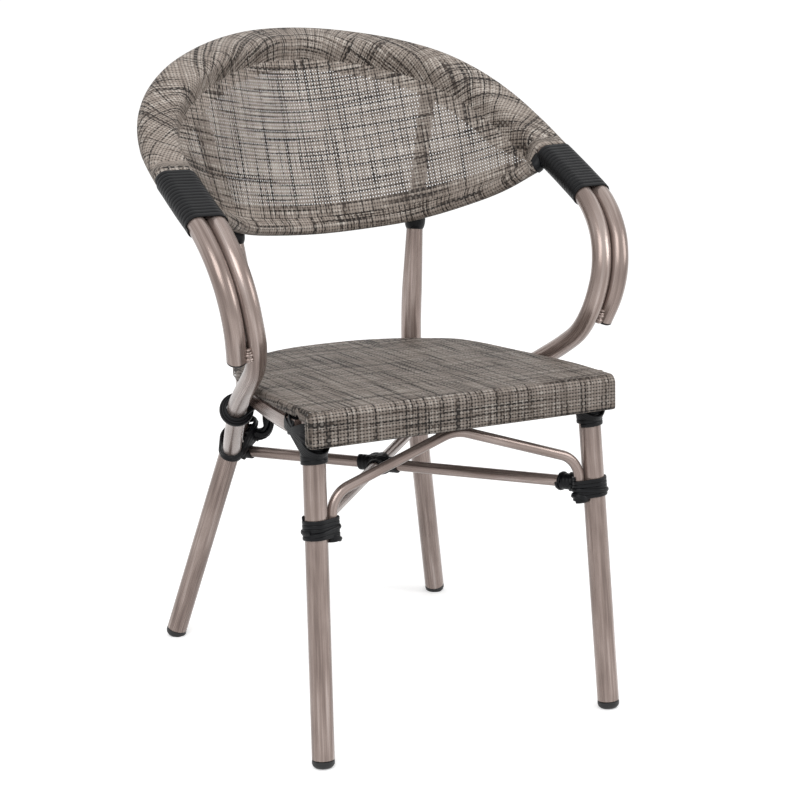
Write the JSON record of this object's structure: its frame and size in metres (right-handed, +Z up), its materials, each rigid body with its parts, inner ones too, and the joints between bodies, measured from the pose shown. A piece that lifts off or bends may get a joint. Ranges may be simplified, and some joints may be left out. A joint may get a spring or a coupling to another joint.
{
  "type": "bistro armchair",
  "caption": "Stacking bistro armchair: bent metal tube frame with a bamboo look, woven mesh seat and rounded back, paired tube arms, crossed braces, black rattan bindings.",
  "frame": {"origin": "on the floor, under the middle of the chair's bounding box", "axes": "+Z up, +Y from the front of the seat to the back, +X to the sitter's left, which is the right of a viewer who faces the chair"},
  "size_m": [0.596, 0.594, 0.8377],
  "materials": {
    "tube": "brushed, champagne with lengthwise bamboo streaks",
    "mesh": "coated woven mesh, beige, grey and dark brown tweed",
    "rattan": "flat black synthetic rattan strip",
    "plastic": "moulded black"
  },
  "bodies": {
    "root": {"arm_end_plug_left": "plastic", "arm_end_plug_right": "plastic", "arm_rail_wrap_left": "rattan", "arm_rail_wrap_right": "rattan", "arm_tube_inner_left": "tube", "arm_tube_inner_right": "tube", "arm_tube_outer_left": "tube", "arm_tube_outer_right": "tube", "arm_wrap_left": "rattan", "arm_wrap_right": "rattan", "back_bottom_rail": "tube", "back_sling": "mesh", "back_sling_hem_bottom": "mesh", "back_sling_hem_top": "mesh", "brace_end_wrap_left": "rattan", "brace_end_wrap_right": "rattan", "cross_brace": "tube", "cross_brace_front_half": "tube", "cross_brace_rear_half": "tube", "cross_wrap": "rattan", "front_arch": "tube", "front_glide_left": "plastic", "front_glide_right": "plastic", "front_leg_left": "tube", "front_leg_right": "tube", "front_leg_wrap_left": "rattan", "front_leg_wrap_right": "rattan", "front_top_wrap_left": "rattan", "front_top_wrap_right": "rattan", "hoop_tube_inner": "tube", "hoop_tube_outer": "tube", "post_wrap_left": "rattan", "post_wrap_right": "rattan", "rail_end_wrap_left": "rattan", "rail_end_wrap_right": "rattan", "rear_glide_left": "plastic", "rear_glide_right": "plastic", "rear_leg_left": "tube", "rear_leg_right": "tube", "rear_leg_wrap_left": "rattan", "rear_leg_wrap_right": "rattan", "seat_front_rail": "tube", "seat_rail_left": "tube", "seat_rail_rear": "tube", "seat_rail_right": "tube", "seat_sling": "mesh", "seat_tie_left": "rattan", "seat_tie_right": "rattan"}
  },
  "joints": []
}
